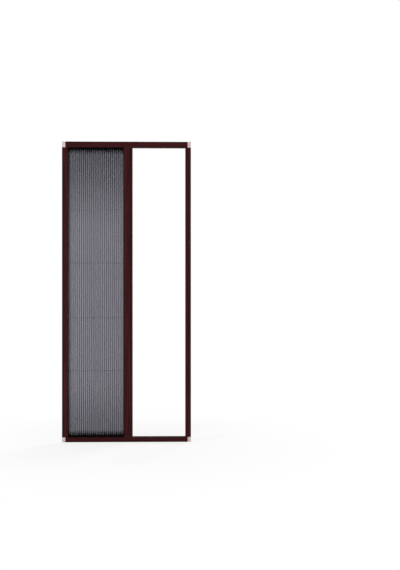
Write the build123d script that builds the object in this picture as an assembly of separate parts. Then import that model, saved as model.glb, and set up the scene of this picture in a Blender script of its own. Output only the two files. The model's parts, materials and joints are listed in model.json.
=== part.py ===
from build123d import *

import math
import os

# Accordion insect screen door, in millimetres. X runs across the door, Y through it (the front looks
# along -Y) and Z up. The origin is the middle of the underside. The door stands half open: the pleats
# hang from the left jamb to the pull bar, and the way through is to the right of the bar.

# Whole door
WIDTH = 900.0
HEIGHT = 2100.0
FRAME_DEPTH = 40.0

# Frame extrusions
FRAME_WALL = 1.5
FRAME_EDGE_RADIUS = 1.0
JAMB_FACE = 40.0
TOP_RAIL_FACE = 40.0
BOTTOM_RAIL_FACE = 34.0
JAMB_MOUTH = 28.0
LIP_THICKNESS = 1.5

# Slots for the brush seals, at the mouth of each rail
SEAL_SLOT_HEIGHT = 5.4
SEAL_SLOT_WALL = 1.5
SEAL_SLOT_REACH = 6.0
SEAL_HOOK_THICKNESS = 1.2
SEAL_HOOK_HEIGHT = 1.0
SEAL_BASE_THICKNESS = 1.0
SEAL_PILE_WIDTH = 2.8
SEAL_TIP_GAP = 18.8

# Corner blocks
CORNER_WIDTH = 23.0
CORNER_TONGUE_LENGTH = 25.0
CORNER_TONGUE_WIDTH = 20.0
RAIL_TONGUE_THICKNESS = 11.4
JAMB_TONGUE_THICKNESS = 6.0
CORNER_FIT = 0.1
CORNER_DIMPLE_RADIUS = 3.0
CORNER_DIMPLE_DEPTH = 1.2
CORNER_DIMPLE_IN = 10.0
CORNER_DIMPLE_DOWN = 26.0
FERRULE_POCKET_LENGTH = 11.0
FERRULE_POCKET_WIDTH = 14.0
FERRULE_POCKET_FLOOR = 4.0
FERRULE_WALL = 3.0

# Screws
SCREW_RADIUS = 1.5
SCREW_HEAD_RADIUS = 3.2
SCREW_HEAD_HEIGHT = 1.4
SCREW_FIT = 0.1
RAIL_SCREW_LENGTH = 10.0
RAIL_SCREW_INSET = 6.0
JAMB_SCREW_LENGTH = 7.0
JAMB_SCREW_RISE = 15.0
CAP_SCREW_LENGTH = 12.0

# Holes in the jambs' webs, for the screws that hold the frame in the door opening
MOUNT_HOLE_RADIUS = 2.5
END_HOLE_INSET = 150.0
MIDDLE_HOLE_SPACING = 600.0

# Pull bar
BAR_WIDTH = 60.0
BAR_DEPTH = 36.0
BAR_SIDE_DEPTH = 26.0
BAR_SIDE_WIDTH = 12.5
BAR_GRIP_RUN = 4.5
BAR_WALL = 1.5
BAR_SKIRT_RADIUS = 3.0
BAR_SHOULDER_RADIUS = 2.0
BAR_EDGE_RADIUS = 1.0
BAR_POCKET_DEPTH = 12.0
BAR_POCKET_MOUTH = 20.4
BAR_NOSE_WALL = 1.5
CHAMBER_SHOULDER_RUN = 2.7
CHAMBER_SHOULDER_DROP = 3.0
MAGNET_SLOT_WIDTH = 11.2
MAGNET_SLOT_DEPTH = 1.6
MAGNET_MOUTH = 8.8
MAGNET_LIP = 1.2
SCREW_PORT_RADIUS = 3.2
SCREW_PORT_BORE = 1.6
SCREW_PORT_SPACING = 17.6
SCREW_PORT_FROM_NOSE = 9.0

# Where the bar stands, and how far it runs
CLEAR_OPENING = 369.0
NOSE_IN_JAMB = 10.0
STACK_PER_PLEAT = 1.8

# Pleated mesh
PLEATS = 29
PANEL_WIDTH = 18.0
MESH_THICKNESS = 0.6
MESH_IN_RAIL = 12.0
MESH_GAP = 0.3
CORD_SLOT = 2.0

# Strips that hold the mesh's edges
STRIP_PLATE = 1.5
STRIP_LEG_THICKNESS = 1.5
STRIP_LEG_LENGTH = 8.0
STRIP_BARB = 1.1
STRIP_BARB_HEIGHT = 1.8
STRIP_FIT = 0.3
BARB_FIT = 0.2

# Magnets
MAGNET_THICKNESS = 1.4
MAGNET_FIT = 0.1
RECEIVER_WIDTH = 24.8
RECEIVER_WALL = 1.4
RECEIVER_FOOT = 36.4
RECEIVER_HOOK = 1.2
MAGNET_CLOSED_GAP = 0.5

# Cords and the rollers that turn them
CORD_RADIUS = 0.5
CORD_HOLE_RADIUS = 0.9
CORD_HEIGHTS = (498.0, 870.0, 1252.0, 1623.0)
CORD_LANE = 3.0
CORD_STRAIGHT_IN = 6.0
CORD_SWAY_RADIUS = 20.0
ROLLER_RADIUS = 6.5
ROLLER_CORD_RADIUS = 5.5
ROLLER_GROOVE_GAP = 0.25
ROLLER_GROOVE_FLAT = 1.3
ROLLER_RIM = 0.6
ROLLER_THICKNESS = 4.0
ROLLER_FIT = 0.05
PIN_RADIUS = 1.5
ROLLER_ALONG_BAR = 30.0
CORD_DEPTH_IN_RAIL = 9.0
FERRULE_RADIUS = 1.7
FERRULE_LENGTH = 6.0
FERRULE_BORE_FIT = 0.05
FERRULE_SEAT = 0.2
CORD_TAIL = 1.0

# Cord guides in the bar
GUIDE_TURN_RADIUS = 5.0
GUIDE_LENGTH = 14.0
GUIDE_INNER_SIDE = -1.3
GUIDE_OUTER_SIDE = 6.3
GUIDE_BEHIND = 4.0
GUIDE_AHEAD = 10.0
GUIDE_FLANGE = 1.2
GUIDE_FLANGE_RIM = 2.0
GUIDE_FIT = 0.1

# End caps of the bar
CAP_PLATE = 2.0
CAP_GAP = 1.5
CAP_PLUG_HEIGHT = 12.0
CAP_PLUG_WALL = 2.4
CAP_PLUG_FIT = 0.2
CAP_NECK_WIDTH = 17.6
CAP_HEAD_START = 12.0
CAP_HEAD_END = 40.0
CAP_HEAD_FIT = 0.6
CAP_GLIDE_GAP = 0.3
CAP_SLOT_WIDTH = 10.6
CAP_SLOT_START = 22.8
CAP_SLOT_CLEARANCE = 0.8
CAP_CHAMFER = 2.0
CAP_HEAD_TOP_GAP = 0.4

# Places worked out from the sizes above
HALF_WIDTH = WIDTH / 2
HALF_DEPTH = FRAME_DEPTH / 2
JAMB_INNER = HALF_WIDTH - JAMB_FACE
RAIL_END = HALF_WIDTH - CORNER_WIDTH
CHANNEL_HALF = HALF_DEPTH - FRAME_WALL
BAR_RIGHT = JAMB_INNER - CLEAR_OPENING
BAR_LEFT = BAR_RIGHT - BAR_WIDTH
BAR_CLOSED_RIGHT = JAMB_INNER + NOSE_IN_JAMB
BAR_OPEN_LEFT = -JAMB_INNER + PLEATS * STACK_PER_PLEAT
TRAVEL_TO_CLOSED = BAR_CLOSED_RIGHT - BAR_RIGHT
TRAVEL_TO_OPEN = BAR_OPEN_LEFT - BAR_LEFT
MESH_LEFT = -JAMB_INNER + MESH_GAP
MESH_RIGHT = BAR_LEFT - MESH_GAP
MESH_BOTTOM = BOTTOM_RAIL_FACE - MESH_IN_RAIL
MESH_TOP = HEIGHT - TOP_RAIL_FACE + MESH_IN_RAIL
SLOT_TOP = LIP_THICKNESS + SEAL_SLOT_HEIGHT + SEAL_SLOT_WALL
ROLLER_X = BAR_LEFT + ROLLER_ALONG_BAR
ROLLER_DEPTH_IN_RAIL = CORD_DEPTH_IN_RAIL + ROLLER_CORD_RADIUS
CORD_UPRIGHT_X = ROLLER_X - ROLLER_CORD_RADIUS
CAP_RIGHT = BAR_LEFT + CAP_HEAD_END
WEB_HOLE_LENGTH = 2 * SCREW_HEAD_HEIGHT + FRAME_WALL
CHAMBER_LEFT = BAR_WALL + BAR_POCKET_DEPTH + BAR_WALL
FERRULE_WALL_X = RAIL_END - CORNER_TONGUE_LENGTH


def box(x, y, z):
    """A box from three pairs of limits."""
    size = [high - low for low, high in (x, y, z)]
    middle = [(high + low) / 2 for low, high in (x, y, z)]
    return Pos(*middle) * Box(*size)


def area(x, y):
    """A flat rectangle from two pairs of limits."""
    size = [high - low for low, high in (x, y)]
    middle = [(high + low) / 2 for low, high in (x, y)]
    return Pos(*middle) * Rectangle(*size)


def upright(section, low, high):
    """Extrudes a section drawn in X and Y from one height to another."""
    return Pos(0, 0, low) * extrude(section, high - low)


def level(section, left, right):
    """Extrudes a section drawn in Y and Z along X."""
    return extrude(Plane.YZ.offset(left) * section, right - left)


def both_sides(half):
    """A section and its mirror image across the line Y = 0, for sections drawn in X and Y."""
    return half + mirror(half, about=Plane.XZ)


def front_and_back(half):
    """A section and its mirror image across the line Y = 0, for sections drawn in Y and Z."""
    return half + mirror(half, about=Plane.YZ)


def to_top(shape):
    """What is drawn over the bottom rail's underside goes under the top rail's upper face."""
    return mirror(shape, about=Plane.XY.offset(HEIGHT / 2))


def to_left(shape):
    """The mirror image of a piece of the right side."""
    return mirror(shape, about=Plane.YZ)


def cylinder_along(axis, radius, start, length):
    """A cylinder of the given length that starts at a point and runs along an axis."""
    plane = Plane(origin=start, z_dir=axis)
    return extrude(plane * Circle(radius), length)


def screw(head_at, axis, length, extra=0.0):
    """A countersunk screw whose head is flush at a point. The extra width makes the hole that it sits in."""
    head = SCREW_HEAD_RADIUS + extra
    shank = SCREW_RADIUS + extra
    tip = length + extra
    outline = Polyline(
        (0, 0),
        (head, 0),
        (shank, SCREW_HEAD_HEIGHT),
        (shank, tip - shank),
        (0.4 * shank, tip),
        (0, tip),
        close=True,
    )
    profile = Plane.XZ * make_face(outline)
    return Plane(origin=head_at, z_dir=axis) * revolve(profile, Axis.Z)


# Frame


def rail_section(face):
    """A rail's section in Y and Z, with its web below and its mouth above."""
    outer = Pos(0, face / 2) * Rectangle(FRAME_DEPTH, face)
    outer = fillet(outer.vertices(), FRAME_EDGE_RADIUS)
    channel = area((-CHANNEL_HALF, CHANNEL_HALF), (FRAME_WALL, face + 1))
    reach = CHANNEL_HALF - SEAL_SLOT_REACH
    lip = area((reach, CHANNEL_HALF), (face - LIP_THICKNESS, face))
    shelf = area((reach, CHANNEL_HALF), (face - SLOT_TOP, face - SLOT_TOP + SEAL_SLOT_WALL))
    hook_side = (reach, reach + SEAL_HOOK_THICKNESS)
    lip_hook = area(hook_side, (face - LIP_THICKNESS - SEAL_HOOK_HEIGHT, face - LIP_THICKNESS))
    shelf_face = face - SLOT_TOP + SEAL_SLOT_WALL
    shelf_hook = area(hook_side, (shelf_face, shelf_face + SEAL_HOOK_HEIGHT))
    return outer - channel + front_and_back(lip + shelf + lip_hook + shelf_hook)


def rail(face):
    """A rail with its corner screws' holes, as the bottom one lies."""
    body = level(rail_section(face), -RAIL_END, RAIL_END)
    for side in (1, -1):
        body -= screw((side * (RAIL_END - RAIL_SCREW_INSET), 0, 0), (0, 0, 1), WEB_HOLE_LENGTH, SCREW_FIT)
    return body


def jamb_section():
    """The right jamb's section in X and Y, open towards the left."""
    outer = area((JAMB_INNER, HALF_WIDTH), (-HALF_DEPTH, HALF_DEPTH))
    outer = fillet(outer.vertices(), FRAME_EDGE_RADIUS)
    channel = area((JAMB_INNER - 1, HALF_WIDTH - FRAME_WALL), (-CHANNEL_HALF, CHANNEL_HALF))
    lip = area((JAMB_INNER, JAMB_INNER + LIP_THICKNESS), (JAMB_MOUTH / 2, CHANNEL_HALF))
    return outer - channel + both_sides(lip)


def mount_hole_heights():
    """The heights of the four holes in each jamb, from the bottom up."""
    middle = HEIGHT / 2
    half_spacing = MIDDLE_HOLE_SPACING / 2
    return (END_HOLE_INSET, middle - half_spacing, middle + half_spacing, HEIGHT - END_HOLE_INSET)


def right_jamb():
    """The right jamb, between the two rails' inner levels."""
    body = upright(jamb_section(), BOTTOM_RAIL_FACE, HEIGHT - TOP_RAIL_FACE)
    for height in mount_hole_heights():
        body -= cylinder_along((-1, 0, 0), MOUNT_HOLE_RADIUS, (HALF_WIDTH + 1, 0, height), 2 * FRAME_WALL)
    for height in (BOTTOM_RAIL_FACE + JAMB_SCREW_RISE, HEIGHT - TOP_RAIL_FACE - JAMB_SCREW_RISE):
        body -= screw((HALF_WIDTH, 0, height), (-1, 0, 0), WEB_HOLE_LENGTH, SCREW_FIT)
    return body


def brush_seal(face):
    """The bottom rail's front brush seal: a backing strip behind the hooks, and pile that points inwards."""
    middle = face - LIP_THICKNESS - SEAL_SLOT_HEIGHT / 2
    hook_back = CHANNEL_HALF - SEAL_SLOT_REACH + SEAL_HOOK_THICKNESS
    base_near = -(hook_back + CORNER_FIT)
    base_far = base_near - SEAL_BASE_THICKNESS
    base_half = SEAL_SLOT_HEIGHT / 2 - BARB_FIT
    base = area((base_far, base_near), (middle - base_half, middle + base_half))
    pile = area((base_near, -SEAL_TIP_GAP / 2), (middle - SEAL_PILE_WIDTH / 2, middle + SEAL_PILE_WIDTH / 2))
    return level(base + pile, -RAIL_END + 1, RAIL_END - 1)


def corner_block(face):
    """The right-hand corner block of a bottom rail, with a tongue in the rail and one in the jamb."""
    body = box((RAIL_END, HALF_WIDTH), (-HALF_DEPTH, HALF_DEPTH), (0, face))
    outer_edges = body.edges().filter_by(Axis.Z).group_by(Axis.X)[-1]
    body = fillet(outer_edges + body.edges().filter_by(Axis.Y).group_by(Axis.Z)[0].group_by(Axis.X)[-1], 2.0)
    half = CORNER_TONGUE_WIDTH / 2
    tongue_low = FRAME_WALL + CORNER_FIT
    tongue_high = tongue_low + RAIL_TONGUE_THICKNESS
    tongue = box((FERRULE_WALL_X, RAIL_END), (-half, half), (tongue_low, tongue_high))
    pocket_left = FERRULE_WALL_X + FERRULE_WALL
    pocket_half = FERRULE_POCKET_WIDTH / 2
    pocket = box(
        (pocket_left, pocket_left + FERRULE_POCKET_LENGTH),
        (-pocket_half, pocket_half),
        (FERRULE_POCKET_FLOOR, tongue_high + 1),
    )
    jamb_far = HALF_WIDTH - FRAME_WALL - CORNER_FIT
    jamb_tongue = box(
        (jamb_far - JAMB_TONGUE_THICKNESS, jamb_far), (-half, half), (face, face + CORNER_TONGUE_LENGTH)
    )
    jamb_tongue = chamfer(jamb_tongue.edges().filter_by(Axis.Y).group_by(Axis.Z)[-1], 1.5)
    block = body + (tongue - pocket) + jamb_tongue
    for lane in (-CORD_LANE, CORD_LANE):
        block -= cylinder_along(
            (1, 0, 0), CORD_HOLE_RADIUS, (FERRULE_WALL_X - 1, lane, CORD_DEPTH_IN_RAIL), FERRULE_WALL + 2
        )
    for side in (-1, 1):
        bottom = side * (HALF_DEPTH - CORNER_DIMPLE_DEPTH)
        dimple_at = (HALF_WIDTH - CORNER_DIMPLE_IN, bottom, CORNER_DIMPLE_DOWN)
        block -= cylinder_along((0, side, 0), CORNER_DIMPLE_RADIUS, dimple_at, CORNER_DIMPLE_DEPTH + 1)
    for hole in corner_screws(face, SCREW_FIT):
        block -= hole
    return block


def corner_screws(face, extra=0.0):
    """The two screws of a bottom right corner: one up through the rail's web, one through the jamb's web."""
    rail_screw = screw((RAIL_END - RAIL_SCREW_INSET, 0, 0), (0, 0, 1), RAIL_SCREW_LENGTH, extra)
    jamb_screw = screw((HALF_WIDTH, 0, face + JAMB_SCREW_RISE), (-1, 0, 0), JAMB_SCREW_LENGTH, extra)
    return [rail_screw, jamb_screw]


# Pull bar


def bar_outline():
    """The bar's outer outline: a deep middle band with a slanted finger grip on each side of it."""
    half = BAR_DEPTH / 2
    side = BAR_SIDE_DEPTH / 2
    inner = BAR_SIDE_WIDTH + BAR_GRIP_RUN
    front = [(0, -side), (BAR_SIDE_WIDTH, -side), (inner, -half)]
    front += [(BAR_WIDTH - x, y) for x, y in reversed(front)]
    back = [(x, -y) for x, y in reversed(front)]
    radii = [BAR_EDGE_RADIUS, BAR_SKIRT_RADIUS, BAR_SHOULDER_RADIUS]
    radii += reversed(radii)
    radii += radii
    line = FilletPolyline(*front, *back, radius=radii, close=True)
    return Pos(BAR_LEFT, 0) * make_face(line)


def bar_chamber():
    """The hollow behind the middle band, in which the cords run up and down."""
    right = BAR_WIDTH - CHAMBER_LEFT
    half = BAR_DEPTH / 2 - BAR_WALL
    shoulder = half - CHAMBER_SHOULDER_DROP
    run = CHAMBER_SHOULDER_RUN
    points = [(CHAMBER_LEFT, -shoulder), (CHAMBER_LEFT + run, -half)]
    points += [(right - run, -half), (right, -shoulder)]
    points += [(x, -y) for x, y in reversed(points)]
    return Pos(BAR_LEFT, 0) * make_face(Polyline(*points, close=True))


def nose_end():
    """The magnet slot's housing at the bar's nose."""
    back = BAR_WIDTH - MAGNET_LIP - MAGNET_SLOT_DEPTH - BAR_WALL
    half = MAGNET_SLOT_WIDTH / 2 + BAR_WALL
    return Pos(BAR_LEFT, 0) * area((back, BAR_WIDTH), (-half, half))


def screw_port_places():
    """Where the end caps' screws go, in X and Y."""
    x = BAR_LEFT + BAR_WIDTH - SCREW_PORT_FROM_NOSE
    return [(x, side * SCREW_PORT_SPACING / 2) for side in (-1, 1)]


def bar_section():
    """The bar's section: the strip's pocket, the chamber, the nose with its screw ports, the magnet slot."""
    side_half = BAR_SIDE_DEPTH / 2
    section = bar_outline() - bar_chamber()
    pocket = area((BAR_WALL, BAR_WALL + BAR_POCKET_DEPTH), (-side_half + BAR_WALL, side_half - BAR_WALL))
    mouth = area((-1, BAR_WALL), (-BAR_POCKET_MOUTH / 2, BAR_POCKET_MOUTH / 2))
    section -= Pos(BAR_LEFT, 0) * (pocket + mouth)
    nose_left = BAR_WIDTH - BAR_WALL - BAR_POCKET_DEPTH
    hollow = area((nose_left, BAR_WIDTH - BAR_NOSE_WALL), (-side_half + BAR_WALL, side_half - BAR_WALL))
    section -= Pos(BAR_LEFT, 0) * hollow - nose_end()
    for x, y in screw_port_places():
        section += Pos(x, y) * Circle(SCREW_PORT_RADIUS)
    for x, y in screw_port_places():
        section -= Pos(x, y) * Circle(SCREW_PORT_BORE)
    slot_right = BAR_WIDTH - MAGNET_LIP
    slot = area((slot_right - MAGNET_SLOT_DEPTH, slot_right), (-MAGNET_SLOT_WIDTH / 2, MAGNET_SLOT_WIDTH / 2))
    opening = area((slot_right, BAR_WIDTH + 1), (-MAGNET_MOUTH / 2, MAGNET_MOUTH / 2))
    return section - Pos(BAR_LEFT, 0) * (slot + opening)


def bar_ends():
    """The heights of the bar's two ends."""
    return (BOTTOM_RAIL_FACE + CAP_GAP + CAP_PLATE, HEIGHT - TOP_RAIL_FACE - CAP_GAP - CAP_PLATE)


def cord_plan():
    """Each cord's height, lane in Y and direction in the bar: the upper two go up, the lower two go down."""
    half = len(CORD_HEIGHTS) // 2
    plan = []
    for number, height in enumerate(CORD_HEIGHTS):
        lane = CORD_LANE if number % 2 else -CORD_LANE
        plan.append((height, lane, 1 if number >= half else -1))
    return plan


def guide_limits(height, lane, way, extra=0.0):
    """The limits in Y and Z of a cord guide's body, which leans to its lane's side and the cord's way."""
    side = math.copysign(1, lane)
    across = sorted(side * y for y in (GUIDE_INNER_SIDE - extra, GUIDE_OUTER_SIDE + extra))
    along = sorted(height + way * z for z in (-GUIDE_BEHIND - extra, GUIDE_AHEAD + extra))
    return tuple(across), tuple(along)


def pull_bar():
    """The bar's extrusion with the openings for the cord guides."""
    body = upright(bar_section(), *bar_ends())
    wall = BAR_LEFT + BAR_WALL + BAR_POCKET_DEPTH
    for height, lane, way in cord_plan():
        across, along = guide_limits(height, lane, way, GUIDE_FIT)
        body -= box((wall - 1, wall + BAR_WALL + 1), across, along)
    return body


def rail_cord_level(way):
    """The height at which a cord runs along its rail."""
    return CORD_DEPTH_IN_RAIL if way < 0 else HEIGHT - CORD_DEPTH_IN_RAIL


def cord_entry(height, lane):
    """The first points of a cord's way into the bar: straight in, then over to its lane."""
    return [(BAR_LEFT, 0, height), (BAR_LEFT + CORD_STRAIGHT_IN, 0, height), (CORD_UPRIGHT_X, lane, height)]


def bar_cord_path(height, lane, way):
    """A cord's way in the bar: in from the mesh, round the guide, along the chamber, round the roller."""
    end_level = rail_cord_level(way)
    points = cord_entry(height, lane) + [(CORD_UPRIGHT_X, lane, end_level), (CAP_RIGHT, lane, end_level)]
    return FilletPolyline(*points, radius=[CORD_SWAY_RADIUS, GUIDE_TURN_RADIUS, ROLLER_CORD_RADIUS])


def swept_cord(path, radius=CORD_RADIUS):
    """A round cord along a path."""
    start = Plane(origin=path @ 0, z_dir=path % 0)
    return sweep(start * Circle(radius), path=path)


def cord_guide(height, lane, way):
    """A moulded guide in the bar's inner wall, with a curved bore that turns the cord."""
    wall = BAR_LEFT + BAR_WALL + BAR_POCKET_DEPTH
    across, along = guide_limits(height, lane, way)
    body = box((wall, wall + GUIDE_LENGTH), across, along)
    body = fillet(body.edges().filter_by(Axis.Y).group_by(Axis.X)[-1], 2.0)
    rim = GUIDE_FLANGE_RIM
    flange_y = (across[0] - rim, across[1] + rim)
    flange_z = (along[0] - rim, along[1] + rim)
    flange = box((wall - GUIDE_FLANGE, wall), flange_y, flange_z)
    bore_end = (CORD_UPRIGHT_X, lane, height + way * (GUIDE_AHEAD + GUIDE_BEHIND))
    points = cord_entry(height, lane) + [bore_end]
    bore_path = FilletPolyline(*points, radius=[CORD_SWAY_RADIUS, GUIDE_TURN_RADIUS])
    bore = swept_cord(bore_path, CORD_HOLE_RADIUS)
    return body + flange - bore


def end_cap(face):
    """The bar's bottom end cap: a plate, a hollow plug in the bar, a neck between the brushes and a head."""
    bottom = face + CAP_GAP + CAP_PLATE
    plate = upright(bar_outline(), bottom - CAP_PLATE, bottom)
    inset = CHAMBER_LEFT + CHAMBER_SHOULDER_RUN + CAP_PLUG_FIT
    plug_x = (BAR_LEFT + inset, BAR_LEFT + BAR_WIDTH - inset)
    plug_half = BAR_DEPTH / 2 - BAR_WALL - CAP_PLUG_FIT
    plug = box(plug_x, (-plug_half, plug_half), (bottom, bottom + CAP_PLUG_HEIGHT))
    core_half = plug_half - CAP_PLUG_WALL
    plug -= box(
        (plug_x[0] + CAP_PLUG_WALL, plug_x[1] - CAP_PLUG_WALL),
        (-core_half, core_half),
        (bottom, bottom + CAP_PLUG_HEIGHT + 1),
    )
    head_x = (BAR_LEFT + CAP_HEAD_START, BAR_LEFT + CAP_HEAD_END)
    head_low = FRAME_WALL + CAP_GLIDE_GAP
    head_high = BOTTOM_RAIL_FACE - SLOT_TOP - CAP_HEAD_TOP_GAP
    neck = box(head_x, (-CAP_NECK_WIDTH / 2, CAP_NECK_WIDTH / 2), (head_high, bottom - CAP_PLATE))
    head_half = CHANNEL_HALF - CAP_HEAD_FIT
    head = box(head_x, (-head_half, head_half), (head_low, head_high))
    head = chamfer(head.edges().filter_by(Axis.Z), CAP_CHAMFER)
    slot_top = ROLLER_DEPTH_IN_RAIL + ROLLER_RADIUS + CAP_SLOT_CLEARANCE
    slot = box(
        (BAR_LEFT + CAP_SLOT_START, head_x[1] + 1),
        (-CAP_SLOT_WIDTH / 2, CAP_SLOT_WIDTH / 2),
        (head_low - 1, slot_top),
    )
    cap = plate + plug + neck + head - slot
    for lane in (-CORD_LANE, CORD_LANE):
        cap -= cylinder_along(
            (0, 0, 1), CORD_HOLE_RADIUS, (CORD_UPRIGHT_X, lane, ROLLER_DEPTH_IN_RAIL), bottom
        )
    pin_at = (ROLLER_X, -head_half - 1, ROLLER_DEPTH_IN_RAIL)
    cap -= cylinder_along((0, 1, 0), PIN_RADIUS, pin_at, 2 * head_half + 2)
    for hole in cap_screws(face, SCREW_FIT):
        cap -= hole
    return cap


def cap_screws(face, extra=0.0):
    """The two screws that hold the bottom cap to the bar, from below its plate up into the screw ports."""
    below = face + CAP_GAP
    return [screw((x, y, below), (0, 0, 1), CAP_SCREW_LENGTH, extra) for x, y in screw_port_places()]


def roller_pin():
    """The pin that both rollers of the bottom cap turn on."""
    half = CHANNEL_HALF - CAP_HEAD_FIT - 1
    return cylinder_along((0, 1, 0), PIN_RADIUS, (ROLLER_X, -half, ROLLER_DEPTH_IN_RAIL), 2 * half)


def roller(lane):
    """A grooved roller of the bottom cap, in one cord's lane."""
    half = ROLLER_THICKNESS / 2
    groove = ROLLER_CORD_RADIUS - CORD_RADIUS - ROLLER_GROOVE_GAP
    flat = ROLLER_GROOVE_FLAT / 2
    bore = PIN_RADIUS + ROLLER_FIT
    shoulder = half - ROLLER_RIM
    outline = Polyline(
        (bore, -half),
        (ROLLER_RADIUS, -half),
        (ROLLER_RADIUS, -shoulder),
        (groove, -flat),
        (groove, flat),
        (ROLLER_RADIUS, shoulder),
        (ROLLER_RADIUS, half),
        (bore, half),
        close=True,
    )
    wheel = revolve(Plane.XZ * make_face(outline), Axis.Z)
    return Plane(origin=(ROLLER_X, lane, ROLLER_DEPTH_IN_RAIL), z_dir=(0, 1, 0)) * wheel


# Strips and magnets


def edge_strip_section(mouth):
    """The section of a strip that snaps into a mouth at X = 0 and reaches in along +X."""
    half = mouth / 2 - STRIP_FIT
    plate = area((0, STRIP_PLATE), (-half, half))
    leg = area((STRIP_PLATE, STRIP_PLATE + STRIP_LEG_LENGTH), (half - STRIP_LEG_THICKNESS, half))
    barb_start = LIP_THICKNESS + BARB_FIT
    barb_top = (barb_start, half + STRIP_BARB)
    barb_end = (barb_start + STRIP_BARB_HEIGHT, half)
    barb = Polyline((barb_start, half), barb_top, barb_end, close=True)
    return plate + both_sides(leg + make_face(barb))


def edge_strip(section, mesh_side, low, high):
    """A mesh edge strip with a hole for each cord."""
    strip = upright(section, low, high)
    for height in CORD_HEIGHTS:
        strip -= cylinder_along((1, 0, 0), CORD_HOLE_RADIUS, (mesh_side - 3, 0, height), 6)
    return strip


def mesh_anchor_strip():
    """The strip in the left jamb's mouth."""
    section = Pos(-JAMB_INNER, 0) * mirror(edge_strip_section(JAMB_MOUTH), about=Plane.YZ)
    return edge_strip(section, -JAMB_INNER, BOTTOM_RAIL_FACE + 1, HEIGHT - TOP_RAIL_FACE - 1)


def mesh_clamp_strip():
    """The strip in the bar's pocket."""
    section = Pos(BAR_LEFT, 0) * edge_strip_section(BAR_POCKET_MOUTH)
    return edge_strip(section, BAR_LEFT, *bar_ends())


def bar_magnet():
    """The magnet strip in the bar's nose."""
    left = BAR_RIGHT - MAGNET_LIP - MAGNET_SLOT_DEPTH + MAGNET_FIT
    half = MAGNET_SLOT_WIDTH / 2 - MAGNET_FIT
    return upright(area((left, left + MAGNET_THICKNESS), (-half, half)), *bar_ends())


def receiver_face():
    """Where the jamb's magnet faces the nose, in X."""
    return BAR_CLOSED_RIGHT + MAGNET_CLOSED_GAP


def jamb_magnet():
    """The magnet strip in the right jamb."""
    half = MAGNET_SLOT_WIDTH / 2 - MAGNET_FIT
    face = receiver_face()
    section = area((face, face + MAGNET_THICKNESS), (-half, half))
    return upright(section, BOTTOM_RAIL_FACE + 1, HEIGHT - TOP_RAIL_FACE - 1)


def magnet_receiver():
    """The hat-shaped strip in the right jamb that carries its magnet and covers the mounting screws."""
    plate_left = receiver_face() + MAGNET_THICKNESS + MAGNET_FIT
    web = HALF_WIDTH - FRAME_WALL - CORNER_FIT
    half = RECEIVER_WIDTH / 2
    plate = area((plate_left, plate_left + RECEIVER_WALL), (-half, half))
    leg = area((plate_left, web), (half - RECEIVER_WALL, half))
    foot = area((web - RECEIVER_WALL, web), (half - RECEIVER_WALL, RECEIVER_FOOT / 2))
    hook_near = MAGNET_SLOT_WIDTH / 2
    hook = area((receiver_face(), plate_left), (hook_near, hook_near + RECEIVER_HOOK))
    section = plate + both_sides(leg + foot + hook)
    return upright(section, BOTTOM_RAIL_FACE + 1, HEIGHT - TOP_RAIL_FACE - 1)


# Mesh and cords


def pleated_mesh():
    """The zigzag sheet of the half open screen, with a glued edge at each end and slots for the cords."""
    step = (MESH_RIGHT - MESH_LEFT - MESH_THICKNESS) / (2 * PLEATS)
    half_depth = math.sqrt(PANEL_WIDTH**2 - step**2) / 2
    slope = math.atan2(2 * half_depth, step)
    side = MESH_THICKNESS / 2 / math.sin(slope)
    inset = side * math.tan(slope)
    first = MESH_LEFT + MESH_THICKNESS / 2
    last = 2 * PLEATS
    back, front = [], []
    for fold in range(last + 1):
        x = first + fold * step
        tip = half_depth if fold % 2 == 0 else -half_depth
        near, far = (back, front) if tip > 0 else (front, back)
        near += [(x - side, tip), (x + side, tip)]
        if 0 < fold < last:
            far.append((x, tip - math.copysign(inset, tip)))
    outline = back + front[::-1]
    sheet = make_face(Polyline(*outline, close=True))
    for x in (MESH_LEFT, MESH_RIGHT - MESH_THICKNESS):
        sheet += area((x, x + MESH_THICKNESS), (-half_depth, half_depth))
    solid = upright(sheet, MESH_BOTTOM, MESH_TOP)
    half_slot = CORD_SLOT / 2
    along = (MESH_LEFT - 1, MESH_RIGHT + 1)
    across = (-half_slot, half_slot)
    for height in CORD_HEIGHTS:
        solid -= box(along, across, (height - half_slot, height + half_slot))
    return solid


def mesh_cord(height):
    """A cord's run through the pleats, from its ferrule behind the anchor strip to the bar."""
    left = -JAMB_INNER - STRIP_PLATE - FERRULE_SEAT - FERRULE_LENGTH - CORD_TAIL
    return cylinder_along((1, 0, 0), CORD_RADIUS, (left, 0, height), BAR_LEFT - left)


def rail_cord(lane, way):
    """A cord's run along a rail, from the bar's end cap to its ferrule in the corner block."""
    right = FERRULE_WALL_X + FERRULE_WALL + FERRULE_SEAT + FERRULE_LENGTH + CORD_TAIL
    return cylinder_along((1, 0, 0), CORD_RADIUS, (CAP_RIGHT, lane, rail_cord_level(way)), right - CAP_RIGHT)


def ferrule(left, y, z):
    """A crimped ferrule on a level cord."""
    body = cylinder_along((1, 0, 0), FERRULE_RADIUS, (left, y, z), FERRULE_LENGTH)
    body = chamfer(body.edges().filter_by(GeomType.CIRCLE), 0.4)
    bore = CORD_RADIUS + FERRULE_BORE_FIT
    return body - cylinder_along((1, 0, 0), bore, (left - 1, y, z), FERRULE_LENGTH + 2)


def cord_ferrules():
    """The ferrules at both ends of each cord."""
    found = []
    for height, lane, way in cord_plan():
        found.append(ferrule(-JAMB_INNER - STRIP_PLATE - FERRULE_SEAT - FERRULE_LENGTH, 0, height))
        found.append(ferrule(FERRULE_WALL_X + FERRULE_WALL + FERRULE_SEAT, lane, rail_cord_level(way)))
    return found


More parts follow.
